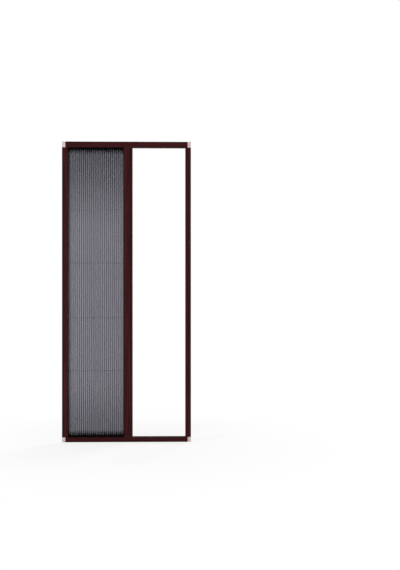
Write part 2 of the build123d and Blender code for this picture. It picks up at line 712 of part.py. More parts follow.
def all_corner_screws():
    """The eight corner screws."""
    right = corner_screws(BOTTOM_RAIL_FACE) + [to_top(each) for each in corner_screws(TOP_RAIL_FACE)]
    return right + [to_left(each) for each in right]


def all_cap_screws():
    """The four screws of the two end caps."""
    return cap_screws(BOTTOM_RAIL_FACE) + [to_top(each) for each in cap_screws(TOP_RAIL_FACE)]


def pieces():
    """Every piece of the door by name. Identical fasteners share one name."""
    bottom_block = corner_block(BOTTOM_RAIL_FACE)
    top_block = to_top(corner_block(TOP_RAIL_FACE))
    jamb = right_jamb()
    bottom_seal = brush_seal(BOTTOM_RAIL_FACE)
    top_seal = to_top(brush_seal(TOP_RAIL_FACE))
    found = {
        "top_rail": to_top(rail(TOP_RAIL_FACE)),
        "bottom_rail": rail(BOTTOM_RAIL_FACE),
        "left_jamb": to_left(jamb),
        "right_jamb": jamb,
        "corner_block_top_left": to_left(top_block),
        "corner_block_top_right": top_block,
        "corner_block_bottom_left": to_left(bottom_block),
        "corner_block_bottom_right": bottom_block,
        "corner_screws": all_corner_screws(),
        "brush_seal_top_front": top_seal,
        "brush_seal_top_back": mirror(top_seal, about=Plane.XZ),
        "brush_seal_bottom_front": bottom_seal,
        "brush_seal_bottom_back": mirror(bottom_seal, about=Plane.XZ),
        "mesh_anchor_strip": mesh_anchor_strip(),
        "magnet_receiver": magnet_receiver(),
        "jamb_magnet": jamb_magnet(),
        "pleated_mesh": pleated_mesh(),
        "cord_ferrules": cord_ferrules(),
        "pull_bar": pull_bar(),
        "mesh_clamp_strip": mesh_clamp_strip(),
        "bar_magnet": bar_magnet(),
        "top_end_cap": to_top(end_cap(TOP_RAIL_FACE)),
        "bottom_end_cap": end_cap(BOTTOM_RAIL_FACE),
        "end_cap_screws": all_cap_screws(),
        "cord_guides": [cord_guide(*each) for each in cord_plan()],
        "top_roller_pin": to_top(roller_pin()),
        "bottom_roller_pin": roller_pin(),
        "top_roller_front": to_top(roller(-CORD_LANE)),
        "top_roller_back": to_top(roller(CORD_LANE)),
        "bottom_roller_front": roller(-CORD_LANE),
        "bottom_roller_back": roller(CORD_LANE),
    }
    for number, (height, lane, way) in enumerate(cord_plan(), start=1):
        found[f"cord_{number}_in_mesh"] = mesh_cord(height)
        found[f"cord_{number}_in_bar"] = swept_cord(bar_cord_path(height, lane, way))
        found[f"cord_{number}_in_rail"] = rail_cord(lane, way)
    return found


def write(name, shape):
    """Writes one piece, or a group of separate ones, as a STEP file of plain solids."""
    group = shape if isinstance(shape, list) else [shape]
    solids = [solid for each in group for solid in each.solids()]
    whole = solids[0] if len(solids) == 1 else Compound(children=solids)
    whole.label = name
    export_step(whole, f"parts/{name}.step")


os.makedirs("parts", exist_ok=True)
for piece_name, piece_shape in pieces().items():
    write(piece_name, piece_shape)
print("bar travel, open and closed:", round(TRAVEL_TO_OPEN, 2), round(TRAVEL_TO_CLOSED, 2))
for cord_height, cord_lane, cord_way in cord_plan():
    bar_length = bar_cord_path(cord_height, cord_lane, cord_way).length
    print("cord at", cord_height, "in the bar:", round(bar_length, 1))
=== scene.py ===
"""Dresses the accordion insect screen door and sets it in a plain studio.

The door stands half open. Metres throughout: X runs across the door, Y through it with the front towards -Y,
and Z up from the middle of the underside.
"""

import json
import logging
import math
import random
from collections.abc import Iterable, Sequence
from dataclasses import dataclass, field
from enum import Enum

import bmesh
import bpy
from mathutils import Matrix, Vector, noise

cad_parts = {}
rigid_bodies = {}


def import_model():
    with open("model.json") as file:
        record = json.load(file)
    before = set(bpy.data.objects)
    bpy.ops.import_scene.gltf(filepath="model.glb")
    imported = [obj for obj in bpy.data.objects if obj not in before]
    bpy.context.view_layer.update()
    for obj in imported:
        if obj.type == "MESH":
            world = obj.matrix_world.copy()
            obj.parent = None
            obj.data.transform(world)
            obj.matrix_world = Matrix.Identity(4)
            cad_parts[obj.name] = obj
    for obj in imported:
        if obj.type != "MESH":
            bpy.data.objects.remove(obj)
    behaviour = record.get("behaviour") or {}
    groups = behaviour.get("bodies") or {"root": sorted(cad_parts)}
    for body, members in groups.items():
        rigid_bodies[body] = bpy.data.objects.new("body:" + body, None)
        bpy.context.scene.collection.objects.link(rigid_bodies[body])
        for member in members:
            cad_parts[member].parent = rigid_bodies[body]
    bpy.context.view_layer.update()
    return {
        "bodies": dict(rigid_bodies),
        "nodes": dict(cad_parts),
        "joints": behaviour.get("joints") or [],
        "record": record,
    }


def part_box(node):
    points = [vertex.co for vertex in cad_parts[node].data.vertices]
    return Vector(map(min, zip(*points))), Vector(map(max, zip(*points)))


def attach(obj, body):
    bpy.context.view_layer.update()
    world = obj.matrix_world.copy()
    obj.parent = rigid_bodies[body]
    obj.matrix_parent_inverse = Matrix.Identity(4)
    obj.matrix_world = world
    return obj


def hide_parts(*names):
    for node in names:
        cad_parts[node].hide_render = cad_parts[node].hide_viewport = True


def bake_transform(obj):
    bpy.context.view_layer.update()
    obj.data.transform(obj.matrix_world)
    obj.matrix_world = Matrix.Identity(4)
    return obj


LOG = logging.getLogger("screen_door")
FRAME_BODY = "frame"
BAR_BODY = "pull_bar_assembly"
PANELS = 58
PANEL_WIDTH = 0.018
CLOTH_WIDTH = PANELS * PANEL_WIDTH
CORD_HEIGHTS = (0.498, 0.870, 1.252, 1.623)

Colour = tuple[float, float, float]
Value = float | bpy.types.NodeSocket


class Along(Enum):
    """The direction in which an extrusion was drawn and its grain runs."""

    WIDTH = (0.02, 1.0, 1.0)
    HEIGHT = (1.0, 1.0, 0.02)


class Face(Enum):
    """The side of the door that a brush seal stands on, as a sign in Y."""

    FRONT = -1
    BACK = 1


class Rail(Enum):
    """Which of the two rails something runs in."""

    TOP = "top"
    BOTTOM = "bottom"


def tint(red: int, green: int, blue: int) -> Colour:
    """Turns a colour as it looks on a screen into the linear values that a shader takes.

    Args:
        red: The red level, from 0 to 255.
        green: The green level, from 0 to 255.
        blue: The blue level, from 0 to 255.

    Returns:
        The three linear levels.
    """

    def linear(level: int) -> float:
        """Undoes the screen's gamma for one level."""
        share = level / 255
        return share / 12.92 if share <= 0.04045 else ((share + 0.055) / 1.055) ** 2.4

    return linear(red), linear(green), linear(blue)


@dataclass(frozen=True)
class Band:
    """A stretch over which an effect fades from one strength to another."""

    low: float
    high: float
    first: float
    last: float


class Recipe:
    """A material under construction, with short calls for the nodes that the finishes share."""

    def __init__(self, name: str) -> None:
        """Starts a material with a single surface shader.

        Args:
            name: The material's name.
        """
        self.material = bpy.data.materials.new(name)
        self.material.use_nodes = True
        self.tree = self.material.node_tree
        self.tree.nodes.clear()
        output = self.tree.nodes.new("ShaderNodeOutputMaterial")
        self.shader = self.tree.nodes.new("ShaderNodeBsdfPrincipled")
        self.tree.links.new(self.shader.outputs["BSDF"], output.inputs["Surface"])

    def feed(self, socket: bpy.types.NodeSocket, value: object) -> None:
        """Links a socket to another, or sets its own value.

        Args:
            socket: The input to feed.
            value: A socket to link, or a number, vector or colour to set.
        """
        if isinstance(value, bpy.types.NodeSocket):
            self.tree.links.new(value, socket)
        elif socket.type == "RGBA" and len(value) == 3:
            socket.default_value = (*value, 1.0)
        else:
            socket.default_value = value

    def surface(self, **values: object) -> None:
        """Feeds the surface shader's inputs.

        Args:
            **values: The inputs by name, with underscores for spaces.
        """
        for name, value in values.items():
            self.feed(self.shader.inputs[name.replace("_", " ")], value)

    def coordinates(self, source: str, scale: Sequence[float] = (1.0, 1.0, 1.0)) -> bpy.types.NodeSocket:
        """Reads the surface's coordinates and stretches them.

        Args:
            source: Object or UV.
            scale: How much each axis is stretched.

        Returns:
            The coordinates.
        """
        reader = self.tree.nodes.new("ShaderNodeTexCoord")
        mapping = self.tree.nodes.new("ShaderNodeMapping")
        self.feed(mapping.inputs["Vector"], reader.outputs[source])
        self.feed(mapping.inputs["Scale"], scale)
        return mapping.outputs["Vector"]

    def part_of(self, vector: bpy.types.NodeSocket, axis: str) -> bpy.types.NodeSocket:
        """One axis of a vector.

        Args:
            vector: The vector.
            axis: X, Y or Z.

        Returns:
            That axis's value.
        """
        node = self.tree.nodes.new("ShaderNodeSeparateXYZ")
        self.feed(node.inputs["Vector"], vector)
        return node.outputs[axis]

    def noise(
        self, vector: bpy.types.NodeSocket, scale: float, detail: float = 4.0, roughness: float = 0.55
    ) -> bpy.types.NodeSocket:
        """A cloudy pattern from 0 to 1.

        Args:
            vector: The coordinates to read.
            scale: How fine the pattern is.
            detail: How many finer layers it has.
            roughness: How strong those are.

        Returns:
            The pattern.
        """
        node = self.tree.nodes.new("ShaderNodeTexNoise")
        values = {"Vector": vector, "Scale": scale, "Detail": detail, "Roughness": roughness}
        for name, value in values.items():
            self.feed(node.inputs[name], value)
        return node.outputs["Fac"]

    def math(self, operation: str, *values: Value) -> bpy.types.NodeSocket:
        """A sum on one or more values.

        Args:
            operation: The Math node's operation.
            *values: Its inputs in order.

        Returns:
            The result.
        """
        node = self.tree.nodes.new("ShaderNodeMath")
        node.operation = operation
        for socket, value in zip(node.inputs, values):
            self.feed(socket, value)
        return node.outputs["Value"]

    def between(
        self, value: Value, low: float, high: float, first: float = 0.0, last: float = 1.0
    ) -> bpy.types.NodeSocket:
        """Maps one range onto another, smoothly and without leaving it.

        Args:
            value: The value to map.
            low: Where the first range starts.
            high: Where the first range ends.
            first: The result at its start.
            last: The result at its end.

        Returns:
            The mapped value.
        """
        node = self.tree.nodes.new("ShaderNodeMapRange")
        node.interpolation_type = "SMOOTHSTEP"
        names = ("Value", "From Min", "From Max", "To Min", "To Max")
        for name, each in zip(names, (value, low, high, first, last)):
            self.feed(node.inputs[name], each)
        return node.outputs["Result"]

    def fade(self, value: Value, band: Band) -> bpy.types.NodeSocket:
        """An effect's strength at a place.

        Args:
            value: The place.
            band: Where the effect fades, and between which strengths.

        Returns:
            The strength.
        """
        return self.between(value, band.low, band.high, band.first, band.last)

    def mix(self, factor: Value, first: object, second: object) -> bpy.types.NodeSocket:
        """Mixes two colours.

        Args:
            factor: How much of the second there is.
            first: The first colour.
            second: The second colour.

        Returns:
            The mixed colour.
        """
        node = self.tree.nodes.new("ShaderNodeMix")
        node.data_type = "RGBA"
        colours = [socket for socket in node.inputs if socket.type == "RGBA"]
        self.feed(node.inputs[0], factor)
        self.feed(colours[0], first)
        self.feed(colours[1], second)
        return next(socket for socket in node.outputs if socket.type == "RGBA")

    def bump(self, height: bpy.types.NodeSocket, depth: float, strength: float = 1.0) -> bpy.types.NodeSocket:
        """Turns a height pattern into a relief.

        Args:
            height: The pattern.
            depth: The relief's depth in metres.
            strength: How much of it shows.

        Returns:
            The surface's normals.
        """
        node = self.tree.nodes.new("ShaderNodeBump")
        for name, value in (("Height", height), ("Distance", depth), ("Strength", strength)):
            self.feed(node.inputs[name], value)
        return node.outputs["Normal"]


@dataclass(frozen=True)
class WoodFilm:
    """The dark red wood-grain film on the aluminium extrusions."""

    along: Along
    valley: Colour = tint(39, 9, 11)
    body: Colour = tint(55, 17, 20)
    ridge: Colour = tint(73, 30, 32)
    streak_scale: float = 210.0
    figure_scale: float = 48.0
    pore_scale: float = 1500.0
    touch_scale: float = 9.0
    relief: float = 0.00006

    def make(self) -> bpy.types.Material:
        """Builds the film: long soft streaks, fine dark pores and a satin surface that hands have polished.

        Returns:
            The material.
        """
        recipe = Recipe(f"wood_film_{self.along.name.lower()}")
        grain = recipe.coordinates("Object", self.along.value)
        streaks = recipe.noise(grain, self.streak_scale, 5.0, 0.62)
        figure = recipe.noise(grain, self.figure_scale, 3.0, 0.5)
        pores = recipe.noise(grain, self.pore_scale, 2.0, 0.5)
        tone = recipe.mix(recipe.between(streaks, 0.34, 0.62), self.valley, self.body)
        tone = recipe.mix(recipe.between(figure, 0.50, 0.72, 0.0, 0.6), tone, self.ridge)
        pore = recipe.between(pores, 0.60, 0.70)
        tone = recipe.mix(recipe.math("MULTIPLY", pore, 0.45), tone, self.valley)
        touched = recipe.noise(recipe.coordinates("Object"), self.touch_scale, 3.0)
        recipe.surface(
            Base_Color=tone,
            Roughness=recipe.between(touched, 0.35, 0.7, 0.40, 0.52),
            Normal=recipe.bump(recipe.math("SUBTRACT", streaks, pore), self.relief, 0.5),
            Specular_IOR_Level=0.06,
        )
        return recipe.material


@dataclass(frozen=True)
class MouldedPlastic:
    """A moulded part with a faint spark-eroded grain."""

    name: str
    light: Colour
    dark: Colour
    roughness: float = 0.5
    cloud_scale: float = 60.0
    grain_scale: float = 1800.0
    rub_scale: float = 24.0
    rub: float = 0.08
    relief: float = 0.00005

    def make(self) -> bpy.types.Material:
        """Builds the plastic: cloudy colour, a fine grain and a few rubbed patches.

        Returns:
            The material.
        """
        recipe = Recipe(self.name)
        place = recipe.coordinates("Object")
        clouds = recipe.noise(place, self.cloud_scale, 4.0)
        texture = recipe.noise(place, self.grain_scale, 2.0)
        rubbed = recipe.noise(place, self.rub_scale, 3.0)
        recipe.surface(
            Base_Color=recipe.mix(recipe.between(clouds, 0.3, 0.7), self.dark, self.light),
            Roughness=recipe.between(rubbed, 0.3, 0.7, self.roughness - self.rub, self.roughness + self.rub),
            Normal=recipe.bump(texture, self.relief, 0.5),
            Specular_IOR_Level=0.35,
        )
        return recipe.material


@dataclass(frozen=True)
class DrawnStrip:
    """A strip of plastic or magnet rubber with the lines of the die along its height."""

    name: str
    light: Colour
    dark: Colour
    roughness: float
    dust: Colour = tint(92, 86, 82)
    line_scale: float = 900.0
    dust_scale: float = 140.0
    wear: float = 0.06
    relief: float = 0.00004

    def make(self) -> bpy.types.Material:
        """Builds the strip's surface: long die lines over a slow change of tone.

        Returns:
            The material.
        """
        recipe = Recipe(self.name)
        lines = recipe.noise(recipe.coordinates("Object", Along.HEIGHT.value), self.line_scale, 3.0)
        dust = recipe.noise(recipe.coordinates("Object"), self.dust_scale, 5.0)
        tone = recipe.mix(recipe.between(lines, 0.35, 0.65), self.dark, self.light)
        recipe.surface(
            Base_Color=recipe.mix(recipe.between(dust, 0.55, 0.8, 0.0, 0.25), tone, self.dust),
            Roughness=recipe.between(dust, 0.3, 0.7, self.roughness - self.wear, self.roughness + self.wear),
            Normal=recipe.bump(lines, self.relief, 0.6),
            Specular_IOR_Level=0.3,
        )
        return recipe.material


@dataclass(frozen=True)
class Metal:
    """A small metal part, plated or bare, with fine turning and handling marks."""

    name: str
    bright: Colour
    dull: Colour
    roughness: float
    scratch_scale: float = 2600.0
    patch_scale: float = 260.0
    relief: float = 0.00002

    def make(self) -> bpy.types.Material:
        """Builds the metal: fine scratches and duller patches.

        Returns:
            The material.
        """
        recipe = Recipe(self.name)
        place = recipe.coordinates("Object")
        scratches = recipe.noise(place, self.scratch_scale, 3.0, 0.7)
        patches = recipe.noise(place, self.patch_scale, 4.0)
        recipe.surface(
            Base_Color=recipe.mix(recipe.between(patches, 0.4, 0.7), self.bright, self.dull),
            Metallic=1.0,
            Roughness=recipe.between(scratches, 0.3, 0.7, self.roughness - 0.08, self.roughness + 0.12),
            Normal=recipe.bump(scratches, self.relief, 0.4),
        )
        return recipe.material


@dataclass(frozen=True)
class PileFibre:
    """The brush seals' woven backing and their polypropylene pile."""

    light: Colour = tint(74, 70, 72)
    dark: Colour = tint(22, 19, 21)
    tuft_scale: float = 900.0
    drift_scale: float = 30.0
    relief: float = 0.0002

    def make(self) -> bpy.types.Material:
        """Builds the pile: each tuft a little lighter or darker, with a soft sheen.

        Returns:
            The material.
        """
        recipe = Recipe("brush_pile")
        tufts = recipe.noise(recipe.coordinates("Object", (1.0, 0.15, 1.0)), self.tuft_scale, 3.0, 0.7)
        drift = recipe.noise(recipe.coordinates("Object"), self.drift_scale, 2.0)
        tone = recipe.mix(recipe.between(tufts, 0.35, 0.68), self.dark, self.light)
        recipe.surface(
            Base_Color=recipe.mix(recipe.between(drift, 0.4, 0.8, 0.0, 0.3), tone, self.dark),
            Roughness=0.88,
            Sheen_Weight=0.2,
            Normal=recipe.bump(tufts, self.relief, 0.7),
            Specular_IOR_Level=0.2,
        )
        return recipe.material


@dataclass(frozen=True)
class TwistedYarn:
    """The thin polyester cords."""

    light: Colour = tint(44, 44, 50)
    dark: Colour = tint(14, 14, 17)
    filament_scale: float = 5200.0
    wear_scale: float = 110.0
    relief: float = 0.00005

    def make(self) -> bpy.types.Material:
        """Builds the yarn: fine filaments that catch the light.

        Returns:
            The material.
        """
        recipe = Recipe("screen_cord")
        filaments = recipe.noise(recipe.coordinates("Object"), self.filament_scale, 3.0, 0.7)
        wear = recipe.noise(recipe.coordinates("Object"), self.wear_scale, 3.0)
        tone = recipe.mix(recipe.between(filaments, 0.3, 0.7), self.dark, self.light)
        recipe.surface(
            Base_Color=recipe.mix(recipe.between(wear, 0.5, 0.8, 0.0, 0.4), tone, self.light),
            Roughness=recipe.between(wear, 0.3, 0.7, 0.55, 0.7),
            Normal=recipe.bump(filaments, self.relief, 0.6),
            Sheen_Weight=0.15,
        )
        return recipe.material


@dataclass(frozen=True)
class PleatedWeave:
    """The grey see-through weave of the pleats, pressed flat and closed along each crease, with a painted
    highlight there.
    """

    pitch: float = 0.0012
    warp_share: float = 0.70
    weft_share: float = 0.40
    crease: float = 0.0006
    light: Colour = tint(180, 179, 189)
    dark: Colour = tint(134, 133, 141)
    # The shade colour is painted shade: the broad shade on the cloth towards the rails and along the cords.
    shade: Colour = tint(92, 92, 101)
    # The next colour is painted shade: near black for the deep shade beside the frame and the bar.
    painted_shade_dark: Colour = tint(16, 16, 18)
    # Painted shade: the cloth darker towards the top and the bottom rail, where the rails shade it.
    painted_shade_under_top: Band = Band(1.45, 2.05, 0.0, 0.7)
    painted_shade_over_bottom: Band = Band(0.04, 0.45, 0.4, 0.0)
    # Painted shade: a darker band along each cord, where the cord shades the cloth.
    rubbed_by_cord: Band = Band(0.002, 0.006, 0.22, 0.0)
    # Painted shade: near black under the top rail, over the bottom rail, beside the jamb and the bar.
    painted_shade_at_top: Band = Band(2.003, 2.048, 0.0, 1.0)
    painted_shade_at_bottom: Band = Band(0.046, 0.088, 1.0, 0.0)
    painted_shade_at_jamb: Band = Band(0.0, 0.040, 0.8, 0.0)
    painted_shade_at_bar: Band = Band(CLOTH_WIDTH - 0.020, CLOTH_WIDTH, 0.0, 0.3)
    # These close the weave beside the rails, so that the painted shade there shows dark.
    closed_for_shade_at_top: Band = Band(2.036, 2.050, 0.0, 0.85)
    closed_for_shade_at_bottom: Band = Band(0.042, 0.056, 0.85, 0.0)
    relief: float = 0.0001

    def threads(self, recipe: Recipe, place: bpy.types.NodeSocket, share: float) -> tuple[Value, Value]:
        """The parallel threads that cross one direction of the cloth.

        Args:
            recipe: The material under construction.
            place: The place across the threads, in metres.
            share: How much of the cloth they cover.

        Returns:
            Their round relief, and 1 where one of them lies.
        """
        relief = recipe.math("COSINE", recipe.math("MULTIPLY", place, 2 * math.pi / self.pitch))
        edge = math.cos(math.pi * share)
        return relief, recipe.between(relief, edge - 0.08, edge + 0.08)

    def shading(self, recipe: Recipe, across: bpy.types.NodeSocket) -> tuple[Value, Value]:
        """The painted shade on the cloth towards the rails, along the cords and beside the frame and bar.

        Args:
            recipe: The material under construction.
            across: The place across the cloth, in metres from the left jamb.

        Returns:
            The broad painted shade by the rails and cords, and the deep one beside the frame and bar.
        """
        height = recipe.part_of(recipe.coordinates("Object"), "Z")
        # Painted shade, darker towards the top and the bottom rail.
        under_top = recipe.fade(height, self.painted_shade_under_top)
        broad = recipe.math("MAXIMUM", under_top, recipe.fade(height, self.painted_shade_over_bottom))
        # Painted shade along each cord.
        for cord in CORD_HEIGHTS:
            away = recipe.math("ABSOLUTE", recipe.math("SUBTRACT", height, cord))
            broad = recipe.math("MAXIMUM", broad, recipe.fade(away, self.rubbed_by_cord))
        # Deep painted shade under the top rail, over the bottom rail, beside the jamb and beside the bar.
        deep = recipe.fade(height, self.painted_shade_at_top)
        for place, band in (
            (height, self.painted_shade_at_bottom),
            (across, self.painted_shade_at_jamb),
            (across, self.painted_shade_at_bar),
        ):
            deep = recipe.math("MAXIMUM", deep, recipe.fade(place, band))
        return broad, deep

    def closed_for_shade(self, recipe: Recipe) -> Value:
        """The weave closed beside the rails, so that the painted shade there shows dark.

        Args:
            recipe: The material under construction.

        Returns:
            How much of the gaps between the threads is closed.
        """
        height = recipe.part_of(recipe.coordinates("Object"), "Z")
        under_top = recipe.fade(height, self.closed_for_shade_at_top)
        return recipe.math("MAXIMUM", under_top, recipe.fade(height, self.closed_for_shade_at_bottom))

    def make(self) -> bpy.types.Material:
        """Builds the weave on the sheet's own map, where both directions are lengths on the flat cloth.

        Returns:
            The material.
        """
        recipe = Recipe("screen_mesh")
        cloth = recipe.coordinates("UV")
        across, up = recipe.part_of(cloth, "X"), recipe.part_of(cloth, "Y")
        warp, warp_lies = self.threads(recipe, across, self.warp_share)
        weft, weft_lies = self.threads(recipe, up, self.weft_share)
        panel_share = recipe.math("FRACT", recipe.math("DIVIDE", across, PANEL_WIDTH))
        from_fold = recipe.math("PINGPONG", panel_share, 0.5)
        crease = self.crease / PANEL_WIDTH
        crushed_and_highlit = recipe.between(from_fold, 0.5 * crease, 1.5 * crease, 1.0, 0.0)
        lumps = recipe.noise(recipe.coordinates("UV", (900.0, 60.0, 1.0)), 1.0, 3.0)
        tone = recipe.mix(recipe.between(lumps, 0.3, 0.7), self.dark, self.light)
        # Painted highlight: the cloth lighter along each crease.
        tone = recipe.mix(recipe.math("MULTIPLY", crushed_and_highlit, 0.35), tone, self.light)
        broad, deep = self.shading(recipe, across)
        # Painted shade: the broad shade towards the rails and along the cords.
        tone = recipe.mix(broad, tone, self.shade)
        lies = recipe.math("MAXIMUM", warp_lies, weft_lies)
        # The weave is closed along the creases and, under the painted shade, beside the rails.
        closed = recipe.math("MAXIMUM", recipe.math("MAXIMUM", lies, crushed_and_highlit), self.closed_for_shade(recipe))
        recipe.surface(
            # Painted shade: near black beside the frame and the bar.
            Base_Color=recipe.mix(deep, tone, self.painted_shade_dark),
            Alpha=closed,
            Roughness=recipe.between(lumps, 0.3, 0.7, 0.55, 0.7),
            Normal=recipe.bump(recipe.math("MAXIMUM", warp, weft), self.relief, 0.5),
            Specular_IOR_Level=0.06,
        )
        return recipe.material


def finished(mesh: bmesh.types.BMesh, name: str) -> bpy.types.Object:
    """Turns a finished bmesh into an object at the origin.

    Args:
        mesh: The mesh, which is freed.
        name: The piece's name.

    Returns:
        The object.
    """
    data = bpy.data.meshes.new(name)
    mesh.to_mesh(data)
    mesh.free()
    piece = bpy.data.objects.new(name, data)
    bpy.context.scene.collection.objects.link(piece)
    return piece


def dress(piece: bpy.types.Object, material: bpy.types.Material) -> None:
    """Gives a piece one finish.

    Args:
        piece: The object.
        material: Its finish.
    """
    piece.data.materials.clear()
    piece.data.materials.append(material)


def add_box(mesh: bmesh.types.BMesh, low: Sequence[float], high: Sequence[float]) -> list[bmesh.types.BMVert]:
    """Adds a box between two corners.

    Args:
        mesh: The mesh to add it to.
        low: The lowest corner.
        high: The highest corner.

    Returns:
        The box's corners.
    """
    size = [b - a for a, b in zip(low, high)]
    middle = [(a + b) / 2 for a, b in zip(low, high)]
    place = Matrix.Translation(middle) @ Matrix.Diagonal((*size, 1.0))
    return bmesh.ops.create_cube(mesh, size=1.0, matrix=place)["verts"]


@dataclass
class Finishes:
    """Every finish of the door, by the material slot that it fills."""

    wide: bpy.types.Material = field(default_factory=WoodFilm(Along.WIDTH).make)
    tall: bpy.types.Material = field(default_factory=WoodFilm(Along.HEIGHT).make)
    by_slot: dict[str, bpy.types.Material] = field(default_factory=dict)

    def __post_init__(self) -> None:
        """Makes the finishes that don't depend on a direction."""
        recipes = {
            "corner_plastic": MouldedPlastic(
                "corner_plastic", tint(201, 188, 187), tint(183, 169, 168), 0.45
            ),
            "cap_plastic": MouldedPlastic("cap_plastic", tint(48, 43, 43), tint(30, 26, 27), 0.5),
            "roller_plastic": MouldedPlastic(
                "roller_plastic", tint(226, 224, 214), tint(208, 205, 194), 0.32
            ),
            "strip_plastic": DrawnStrip("strip_plastic", tint(62, 52, 52), tint(40, 33, 34), 0.5),
            "magnet_rubber": DrawnStrip("magnet_rubber", tint(50, 45, 43), tint(32, 28, 27), 0.7),
            "screw_steel": Metal("screw_steel", (0.62, 0.61, 0.60), (0.40, 0.39, 0.38), 0.34),
            "ferrule_brass": Metal("ferrule_brass", (0.72, 0.50, 0.22), (0.50, 0.33, 0.14), 0.36),
            "brush_pile": PileFibre(),
            "screen_cord": TwistedYarn(),
            "screen_mesh": PleatedWeave(),
        }
        for slot, recipe in recipes.items():
            self.by_slot[slot] = recipe.make()

    def for_node(self, node: str, slot: str) -> bpy.types.Material:
        """The finish of one CAD node.

        Args:
            node: The node's name.
            slot: The material slot that the record gives it.

        Returns:
            Its material, with the film's grain along the rails or up the uprights.
        """
        if slot != "frame_finish":
            return self.by_slot[slot]
        return self.wide if node.endswith("_rail") else self.tall

    def dress_nodes(self, frame: dict) -> None:
        """Dresses every CAD node.

        Args:
            frame: What the loaded frame holds.
        """
        for part in frame["record"]["subparts"]:
            node = part["node"]
            dress(frame["nodes"][node], self.for_node(node, part["material_slot"]))
            LOG.info("dressed %s in %s", node, part["material_slot"])


